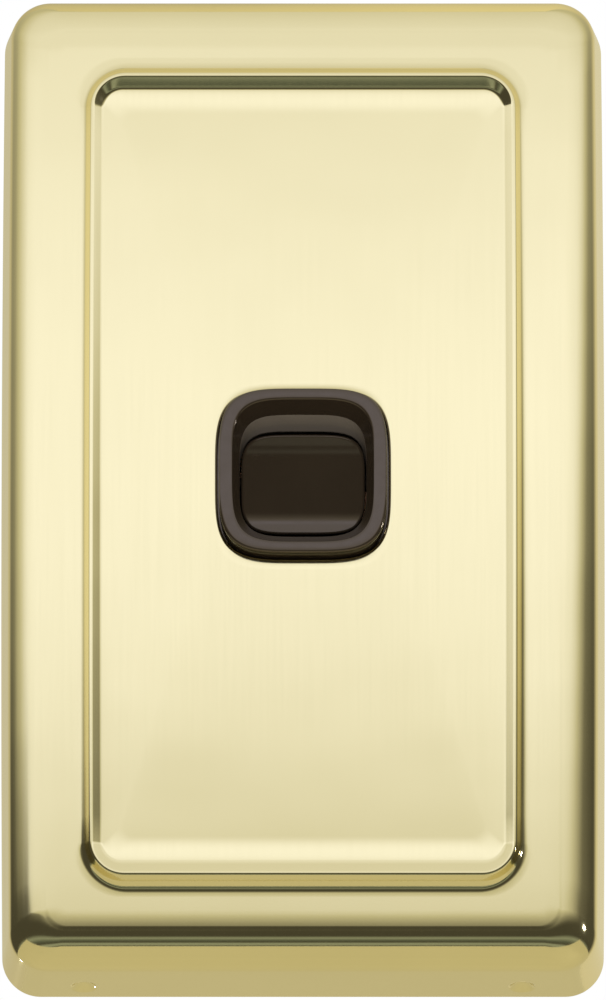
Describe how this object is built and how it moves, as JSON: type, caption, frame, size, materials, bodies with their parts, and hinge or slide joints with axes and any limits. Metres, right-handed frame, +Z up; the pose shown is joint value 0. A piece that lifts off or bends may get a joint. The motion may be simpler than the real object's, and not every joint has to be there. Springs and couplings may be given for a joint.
{
  "type": "rocker wall switch",
  "caption": "Surface wall switch: a pressed brass cover plate with a raised bead, a brown rocker in a barrel-square bezel, and a changeover contact mechanism behind it.",
  "frame": {"origin": "on the wall plane, midway between the two wall screws, behind the middle of the rocker", "axes": "+Z up the wall, +X to the right seen from the front, +Y into the wall; the front faces -Y"},
  "size_m": [0.0704, 0.0317, 0.117],
  "materials": {
    "polished_brass": "polished",
    "base_plastic": "moulded",
    "brown_plastic": "glossy",
    "housing_plastic": "moulded",
    "steel": "zinc plated",
    "nylon": "moulded",
    "contact_copper": "stamped",
    "contact_silver": "plain",
    "terminal_brass": "machined",
    "screw_brass": "machined"
  },
  "bodies": {
    "frame": {"cover_plate": "polished_brass", "mounting_base": "base_plastic", "bezel": "brown_plastic", "mech_housing": "housing_plastic", "rear_cover": "housing_plastic", "rear_cover_screw": "steel", "rocker_pin": "steel", "fixed_strip_1": "contact_copper", "fixed_strip_2": "contact_copper", "fixed_contacts": "contact_silver", "common_strip": "contact_copper", "terminal_1": "terminal_brass", "terminal_2": "terminal_brass", "terminal_common": "terminal_brass", "terminal_loop": "terminal_brass"},
    "rocker": {"rocker": "brown_plastic", "plunger_spring": "steel"},
    "plunger": {"plunger": "nylon"},
    "lever": {"contact_lever": "contact_copper", "moving_contacts": "contact_silver"},
    "screw_1": {"terminal_screw_1": "screw_brass"},
    "screw_2": {"terminal_screw_2": "screw_brass"},
    "screw_common": {"terminal_screw_common": "screw_brass"},
    "screw_loop": {"terminal_screw_loop": "screw_brass"}
  },
  "joints": [
    {"name": "rocker_press", "type": "hinge", "parent": "frame", "child": "rocker", "pos_m": [0, -0.0111, 0], "axis": [-1, 0, 0], "range_deg": [0, 24]},
    {"name": "lever_tilt", "type": "hinge", "parent": "frame", "child": "lever", "pos_m": [0, -0.0015, 0], "axis": [-1, 0, 0], "range_deg": [-14, 0]},
    {"name": "plunger_slide", "type": "slide", "parent": "rocker", "child": "plunger", "axis": [0, -0.9781, -0.2079], "range_m": [0, 0.0008], "stiffness_N_per_m": 300, "springref_m": -0.002, "deforming": ["plunger_spring"]},
    {"name": "screw_1_clamp", "type": "slide", "parent": "frame", "child": "screw_1", "axis": [0, -1, 0], "range_m": [0, 0.0025]},
    {"name": "screw_2_clamp", "type": "slide", "parent": "frame", "child": "screw_2", "axis": [0, -1, 0], "range_m": [0, 0.0025]},
    {"name": "screw_common_clamp", "type": "slide", "parent": "frame", "child": "screw_common", "axis": [0, -1, 0], "range_m": [0, 0.0025]},
    {"name": "screw_loop_clamp", "type": "slide", "parent": "frame", "child": "screw_loop", "axis": [0, -1, 0], "range_m": [0, 0.0025]}
  ],
  "couplings": [
    {"joint": "lever_tilt", "follows": "rocker_press", "ratio": -0.58333}
  ]
}
